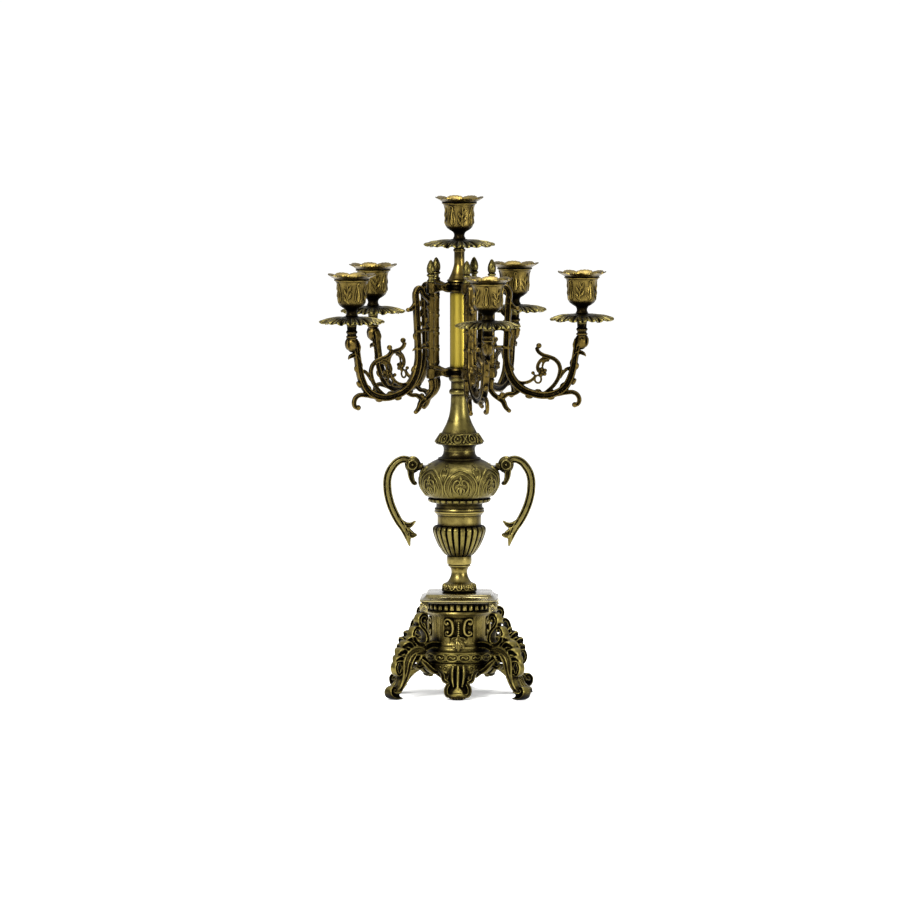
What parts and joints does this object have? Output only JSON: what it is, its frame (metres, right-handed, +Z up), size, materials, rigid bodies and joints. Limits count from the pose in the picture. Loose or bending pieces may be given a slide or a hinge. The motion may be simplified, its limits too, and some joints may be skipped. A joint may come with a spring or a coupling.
{
  "type": "tabletop candelabra",
  "caption": "Free-standing cast-brass candelabra with swinging scroll arms, a higher centre light, candle cups over drip pans, an urn column with bird-head handles and a footed square base.",
  "frame": {"origin": "the point of the table under the column's axis, between the feet", "axes": "+Z up along the column; -Y is the front; +X to the right seen from the front"},
  "size_m": [0.2951, 0.2981, 0.499],
  "materials": {
    "antique_brass": "cast, satin on the high parts, near-black patina in the recesses",
    "satin_brass_tube": "drawn brass, satin",
    "steel_fastener": "plain steel"
  },
  "bodies": {
    "stand": {"foot_ring": "antique_brass", "base_drum": "antique_brass", "top_plate": "antique_brass", "corner_leg_1": "antique_brass", "corner_leg_2": "antique_brass", "corner_leg_3": "antique_brass", "corner_leg_4": "antique_brass", "centre_foot_1": "antique_brass", "centre_foot_2": "antique_brass", "centre_foot_3": "antique_brass", "centre_foot_4": "antique_brass", "leg_screws": "steel_fastener", "stem_baluster": "antique_brass", "fluted_cup": "antique_brass", "waist_band": "antique_brass", "urn_body": "antique_brass", "handle_right": "antique_brass", "handle_left": "antique_brass", "handle_screws": "steel_fastener", "bell_cone": "antique_brass", "lower_hub": "antique_brass", "column_tube": "satin_brass_tube", "upper_hub": "antique_brass", "trumpet_neck": "antique_brass", "tie_rod": "steel_fastener", "base_washer": "steel_fastener", "base_nut": "steel_fastener", "pivot_pins": "satin_brass_tube", "finial_a": "antique_brass", "finial_b": "antique_brass", "finial_c": "antique_brass", "finial_d": "antique_brass", "finial_e": "antique_brass"},
    "arm_body_a": {"arm_a": "antique_brass"},
    "pan_body_a": {"pan_a": "antique_brass"},
    "cup_body_a": {"candle_cup_a": "antique_brass"},
    "arm_body_b": {"arm_b": "antique_brass"},
    "pan_body_b": {"pan_b": "antique_brass"},
    "cup_body_b": {"candle_cup_b": "antique_brass"},
    "arm_body_c": {"arm_c": "antique_brass"},
    "pan_body_c": {"pan_c": "antique_brass"},
    "cup_body_c": {"candle_cup_c": "antique_brass"},
    "arm_body_d": {"arm_d": "antique_brass"},
    "pan_body_d": {"pan_d": "antique_brass"},
    "cup_body_d": {"candle_cup_d": "antique_brass"},
    "arm_body_e": {"arm_e": "antique_brass"},
    "pan_body_e": {"pan_e": "antique_brass"},
    "cup_body_e": {"candle_cup_e": "antique_brass"},
    "pan_body_centre": {"centre_pan": "antique_brass"},
    "cup_body_centre": {"centre_candle_cup": "antique_brass"}
  },
  "joints": [
    {"name": "arm_swing_a", "type": "hinge", "parent": "stand", "child": "arm_body_a", "pos_m": [-0.02838, -0.01685, 0.365], "axis": [0, 0, 1], "range_deg": [-20, 20]},
    {"name": "pan_lift_a", "type": "slide", "parent": "arm_body_a", "child": "pan_body_a", "axis": [0, 0, 1], "range_m": [0, 0.0061]},
    {"name": "cup_turn_a", "type": "hinge", "parent": "pan_body_a", "child": "cup_body_a", "pos_m": [-0.10688, -0.06346, 0.383], "axis": [0, 0, 1], "range_deg": [0, 2160]},
    {"name": "arm_swing_b", "type": "hinge", "parent": "stand", "child": "arm_body_b", "pos_m": [-0.02305, 0.02362, 0.365], "axis": [0, 0, 1], "range_deg": [-20, 20]},
    {"name": "pan_lift_b", "type": "slide", "parent": "arm_body_b", "child": "pan_body_b", "axis": [0, 0, 1], "range_m": [0, 0.0061]},
    {"name": "cup_turn_b", "type": "hinge", "parent": "pan_body_b", "child": "cup_body_b", "pos_m": [-0.08681, 0.08896, 0.383], "axis": [0, 0, 1], "range_deg": [0, 2160]},
    {"name": "arm_swing_c", "type": "hinge", "parent": "stand", "child": "arm_body_c", "pos_m": [0.01483, 0.02948, 0.365], "axis": [0, 0, 1], "range_deg": [-20, 20]},
    {"name": "pan_lift_c", "type": "slide", "parent": "arm_body_c", "child": "pan_body_c", "axis": [0, 0, 1], "range_m": [0, 0.0061]},
    {"name": "cup_turn_c", "type": "hinge", "parent": "pan_body_c", "child": "cup_body_c", "pos_m": [0.05585, 0.11105, 0.383], "axis": [0, 0, 1], "range_deg": [0, 2160]},
    {"name": "arm_swing_d", "type": "hinge", "parent": "stand", "child": "arm_body_d", "pos_m": [0.03245, -0.00601, 0.365], "axis": [0, 0, 1], "range_deg": [-20, 20]},
    {"name": "pan_lift_d", "type": "slide", "parent": "arm_body_d", "child": "pan_body_d", "axis": [0, 0, 1], "range_m": [0, 0.0061]},
    {"name": "cup_turn_d", "type": "hinge", "parent": "pan_body_d", "child": "cup_body_d", "pos_m": [0.12222, -0.02265, 0.383], "axis": [0, 0, 1], "range_deg": [0, 2160]},
    {"name": "arm_swing_e", "type": "hinge", "parent": "stand", "child": "arm_body_e", "pos_m": [0.00748, -0.03214, 0.365], "axis": [0, 0, 1], "range_deg": [-20, 20]},
    {"name": "pan_lift_e", "type": "slide", "parent": "arm_body_e", "child": "pan_body_e", "axis": [0, 0, 1], "range_m": [0, 0.0061]},
    {"name": "cup_turn_e", "type": "hinge", "parent": "pan_body_e", "child": "cup_body_e", "pos_m": [0.02817, -0.12107, 0.383], "axis": [0, 0, 1], "range_deg": [0, 2160]},
    {"name": "pan_lift_centre", "type": "slide", "parent": "stand", "child": "pan_body_centre", "axis": [0, 0, 1], "range_m": [0, 0.0061]},
    {"name": "cup_turn_centre", "type": "hinge", "parent": "pan_body_centre", "child": "cup_body_centre", "pos_m": [0, 0, 0.456], "axis": [0, 0, 1], "range_deg": [0, 2160]}
  ],
  "couplings": [
    {"joint": "pan_lift_a", "follows": "cup_turn_a", "m_per_rad": 0.00015915},
    {"joint": "pan_lift_b", "follows": "cup_turn_b", "m_per_rad": 0.00015915},
    {"joint": "pan_lift_c", "follows": "cup_turn_c", "m_per_rad": 0.00015915},
    {"joint": "pan_lift_d", "follows": "cup_turn_d", "m_per_rad": 0.00015915},
    {"joint": "pan_lift_e", "follows": "cup_turn_e", "m_per_rad": 0.00015915},
    {"joint": "pan_lift_centre", "follows": "cup_turn_centre", "m_per_rad": 0.00015915}
  ]
}
